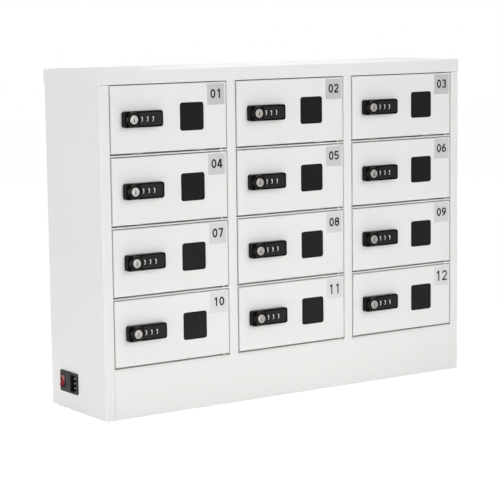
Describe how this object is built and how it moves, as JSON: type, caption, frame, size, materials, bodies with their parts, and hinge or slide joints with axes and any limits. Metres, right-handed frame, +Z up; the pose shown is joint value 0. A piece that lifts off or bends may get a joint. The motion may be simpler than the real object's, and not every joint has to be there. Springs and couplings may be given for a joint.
{
  "type": "cell phone locker",
  "caption": "Sheet-steel phone locker on a plinth, with combination-locked window doors, a charging outlet in each compartment and a switched mains inlet on the side.",
  "frame": {"origin": "centre of the base, on the surface that the cabinet stands on", "axes": "+X along the width, to the right seen from the front; the doors face -Y; +Z up"},
  "size_m": [0.6507, 0.175, 0.49],
  "materials": {
    "white_steel": "white powder coat, satin, fine orange peel",
    "pin_steel": "zinc plated",
    "lock_black": "glossy black moulding with a plated clamp plate",
    "knob_black": "glossy black ring round a nickel key cylinder",
    "wheel_black": "black wheels with white digits",
    "outlet_plastic": "matt black moulding",
    "supply_case": "perforated sheet",
    "cable_jacket": "matt jacket",
    "inlet_plastic": "matt black moulding",
    "rocker_red": "translucent red"
  },
  "bodies": {
    "cabinet": {"body_wrap": "white_steel", "top_cap": "white_steel", "front_frame": "white_steel", "dividers": "white_steel", "back_panel": "white_steel", "charging_panel": "white_steel", "hinge_pins": "pin_steel", "usb_outlets": "outlet_plastic", "power_supply": "supply_case", "wiring": "cable_jacket", "power_inlet": "inlet_plastic"},
    "rocker_switch": {"rocker_switch": "rocker_red"},
    "door_01": {"door_01": "white_steel", "lock_01": "lock_black"},
    "knob_01": {"knob_01": "knob_black"},
    "dials_01": {"dials_01": "wheel_black"},
    "door_02": {"door_02": "white_steel", "lock_02": "lock_black"},
    "knob_02": {"knob_02": "knob_black"},
    "dials_02": {"dials_02": "wheel_black"},
    "door_03": {"door_03": "white_steel", "lock_03": "lock_black"},
    "knob_03": {"knob_03": "knob_black"},
    "dials_03": {"dials_03": "wheel_black"},
    "door_04": {"door_04": "white_steel", "lock_04": "lock_black"},
    "knob_04": {"knob_04": "knob_black"},
    "dials_04": {"dials_04": "wheel_black"},
    "door_05": {"door_05": "white_steel", "lock_05": "lock_black"},
    "knob_05": {"knob_05": "knob_black"},
    "dials_05": {"dials_05": "wheel_black"},
    "door_06": {"door_06": "white_steel", "lock_06": "lock_black"},
    "knob_06": {"knob_06": "knob_black"},
    "dials_06": {"dials_06": "wheel_black"},
    "door_07": {"door_07": "white_steel", "lock_07": "lock_black"},
    "knob_07": {"knob_07": "knob_black"},
    "dials_07": {"dials_07": "wheel_black"},
    "door_08": {"door_08": "white_steel", "lock_08": "lock_black"},
    "knob_08": {"knob_08": "knob_black"},
    "dials_08": {"dials_08": "wheel_black"},
    "door_09": {"door_09": "white_steel", "lock_09": "lock_black"},
    "knob_09": {"knob_09": "knob_black"},
    "dials_09": {"dials_09": "wheel_black"},
    "door_10": {"door_10": "white_steel", "lock_10": "lock_black"},
    "knob_10": {"knob_10": "knob_black"},
    "dials_10": {"dials_10": "wheel_black"},
    "door_11": {"door_11": "white_steel", "lock_11": "lock_black"},
    "knob_11": {"knob_11": "knob_black"},
    "dials_11": {"dials_11": "wheel_black"},
    "door_12": {"door_12": "white_steel", "lock_12": "lock_black"},
    "knob_12": {"knob_12": "knob_black"},
    "dials_12": {"dials_12": "wheel_black"}
  },
  "joints": [
    {"name": "rocker_tilt", "type": "hinge", "parent": "cabinet", "child": "rocker_switch", "pos_m": [-0.3213, 0.0403, 0.0402], "axis": [0, -1, 0], "range_deg": [0, 20]},
    {"name": "door_01_hinge", "type": "hinge", "parent": "cabinet", "child": "door_01", "pos_m": [-0.12047, -0.0758, 0.42196], "axis": [0, 0, 1], "range_deg": [0, 110]},
    {"name": "knob_01_turn", "type": "hinge", "parent": "door_01", "child": "knob_01", "pos_m": [-0.275, -0.08, 0.42211], "axis": [0, -1, 0], "range_deg": [0, 90]},
    {"name": "dials_01_spin", "type": "hinge", "parent": "door_01", "child": "dials_01", "pos_m": [-0.2495, -0.082, 0.42211], "axis": [1, 0, 0], "continuous": true},
    {"name": "door_02_hinge", "type": "hinge", "parent": "cabinet", "child": "door_02", "pos_m": [0.08887, -0.0758, 0.42196], "axis": [0, 0, 1], "range_deg": [0, 110]},
    {"name": "knob_02_turn", "type": "hinge", "parent": "door_02", "child": "knob_02", "pos_m": [-0.06567, -0.08, 0.42211], "axis": [0, -1, 0], "range_deg": [0, 90]},
    {"name": "dials_02_spin", "type": "hinge", "parent": "door_02", "child": "dials_02", "pos_m": [-0.04017, -0.082, 0.42211], "axis": [1, 0, 0], "continuous": true},
    {"name": "door_03_hinge", "type": "hinge", "parent": "cabinet", "child": "door_03", "pos_m": [0.2982, -0.0758, 0.42196], "axis": [0, 0, 1], "range_deg": [0, 110]},
    {"name": "knob_03_turn", "type": "hinge", "parent": "door_03", "child": "knob_03", "pos_m": [0.14367, -0.08, 0.42211], "axis": [0, -1, 0], "range_deg": [0, 90]},
    {"name": "dials_03_spin", "type": "hinge", "parent": "door_03", "child": "dials_03", "pos_m": [0.16917, -0.082, 0.42211], "axis": [1, 0, 0], "continuous": true},
    {"name": "door_04_hinge", "type": "hinge", "parent": "cabinet", "child": "door_04", "pos_m": [-0.12047, -0.0758, 0.32179], "axis": [0, 0, 1], "range_deg": [0, 110]},
    {"name": "knob_04_turn", "type": "hinge", "parent": "door_04", "child": "knob_04", "pos_m": [-0.275, -0.08, 0.32194], "axis": [0, -1, 0], "range_deg": [0, 90]},
    {"name": "dials_04_spin", "type": "hinge", "parent": "door_04", "child": "dials_04", "pos_m": [-0.2495, -0.082, 0.32194], "axis": [1, 0, 0], "continuous": true},
    {"name": "door_05_hinge", "type": "hinge", "parent": "cabinet", "child": "door_05", "pos_m": [0.08887, -0.0758, 0.32179], "axis": [0, 0, 1], "range_deg": [0, 110]},
    {"name": "knob_05_turn", "type": "hinge", "parent": "door_05", "child": "knob_05", "pos_m": [-0.06567, -0.08, 0.32194], "axis": [0, -1, 0], "range_deg": [0, 90]},
    {"name": "dials_05_spin", "type": "hinge", "parent": "door_05", "child": "dials_05", "pos_m": [-0.04017, -0.082, 0.32194], "axis": [1, 0, 0], "continuous": true},
    {"name": "door_06_hinge", "type": "hinge", "parent": "cabinet", "child": "door_06", "pos_m": [0.2982, -0.0758, 0.32179], "axis": [0, 0, 1], "range_deg": [0, 110]},
    {"name": "knob_06_turn", "type": "hinge", "parent": "door_06", "child": "knob_06", "pos_m": [0.14367, -0.08, 0.32194], "axis": [0, -1, 0], "range_deg": [0, 90]},
    {"name": "dials_06_spin", "type": "hinge", "parent": "door_06", "child": "dials_06", "pos_m": [0.16917, -0.082, 0.32194], "axis": [1, 0, 0], "continuous": true},
    {"name": "door_07_hinge", "type": "hinge", "parent": "cabinet", "child": "door_07", "pos_m": [-0.12047, -0.0758, 0.22161], "axis": [0, 0, 1], "range_deg": [0, 110]},
    {"name": "knob_07_turn", "type": "hinge", "parent": "door_07", "child": "knob_07", "pos_m": [-0.275, -0.08, 0.22176], "axis": [0, -1, 0], "range_deg": [0, 90]},
    {"name": "dials_07_spin", "type": "hinge", "parent": "door_07", "child": "dials_07", "pos_m": [-0.2495, -0.082, 0.22176], "axis": [1, 0, 0], "continuous": true},
    {"name": "door_08_hinge", "type": "hinge", "parent": "cabinet", "child": "door_08", "pos_m": [0.08887, -0.0758, 0.22161], "axis": [0, 0, 1], "range_deg": [0, 110]},
    {"name": "knob_08_turn", "type": "hinge", "parent": "door_08", "child": "knob_08", "pos_m": [-0.06567, -0.08, 0.22176], "axis": [0, -1, 0], "range_deg": [0, 90]},
    {"name": "dials_08_spin", "type": "hinge", "parent": "door_08", "child": "dials_08", "pos_m": [-0.04017, -0.082, 0.22176], "axis": [1, 0, 0], "continuous": true},
    {"name": "door_09_hinge", "type": "hinge", "parent": "cabinet", "child": "door_09", "pos_m": [0.2982, -0.0758, 0.22161], "axis": [0, 0, 1], "range_deg": [0, 110]},
    {"name": "knob_09_turn", "type": "hinge", "parent": "door_09", "child": "knob_09", "pos_m": [0.14367, -0.08, 0.22176], "axis": [0, -1, 0], "range_deg": [0, 90]},
    {"name": "dials_09_spin", "type": "hinge", "parent": "door_09", "child": "dials_09", "pos_m": [0.16917, -0.082, 0.22176], "axis": [1, 0, 0], "continuous": true},
    {"name": "door_10_hinge", "type": "hinge", "parent": "cabinet", "child": "door_10", "pos_m": [-0.12047, -0.0758, 0.12144], "axis": [0, 0, 1], "range_deg": [0, 110]},
    {"name": "knob_10_turn", "type": "hinge", "parent": "door_10", "child": "knob_10", "pos_m": [-0.275, -0.08, 0.12159], "axis": [0, -1, 0], "range_deg": [0, 90]},
    {"name": "dials_10_spin", "type": "hinge", "parent": "door_10", "child": "dials_10", "pos_m": [-0.2495, -0.082, 0.12159], "axis": [1, 0, 0], "continuous": true},
    {"name": "door_11_hinge", "type": "hinge", "parent": "cabinet", "child": "door_11", "pos_m": [0.08887, -0.0758, 0.12144], "axis": [0, 0, 1], "range_deg": [0, 110]},
    {"name": "knob_11_turn", "type": "hinge", "parent": "door_11", "child": "knob_11", "pos_m": [-0.06567, -0.08, 0.12159], "axis": [0, -1, 0], "range_deg": [0, 90]},
    {"name": "dials_11_spin", "type": "hinge", "parent": "door_11", "child": "dials_11", "pos_m": [-0.04017, -0.082, 0.12159], "axis": [1, 0, 0], "continuous": true},
    {"name": "door_12_hinge", "type": "hinge", "parent": "cabinet", "child": "door_12", "pos_m": [0.2982, -0.0758, 0.12144], "axis": [0, 0, 1], "range_deg": [0, 110]},
    {"name": "knob_12_turn", "type": "hinge", "parent": "door_12", "child": "knob_12", "pos_m": [0.14367, -0.08, 0.12159], "axis": [0, -1, 0], "range_deg": [0, 90]},
    {"name": "dials_12_spin", "type": "hinge", "parent": "door_12", "child": "dials_12", "pos_m": [0.16917, -0.082, 0.12159], "axis": [1, 0, 0], "continuous": true}
  ]
}
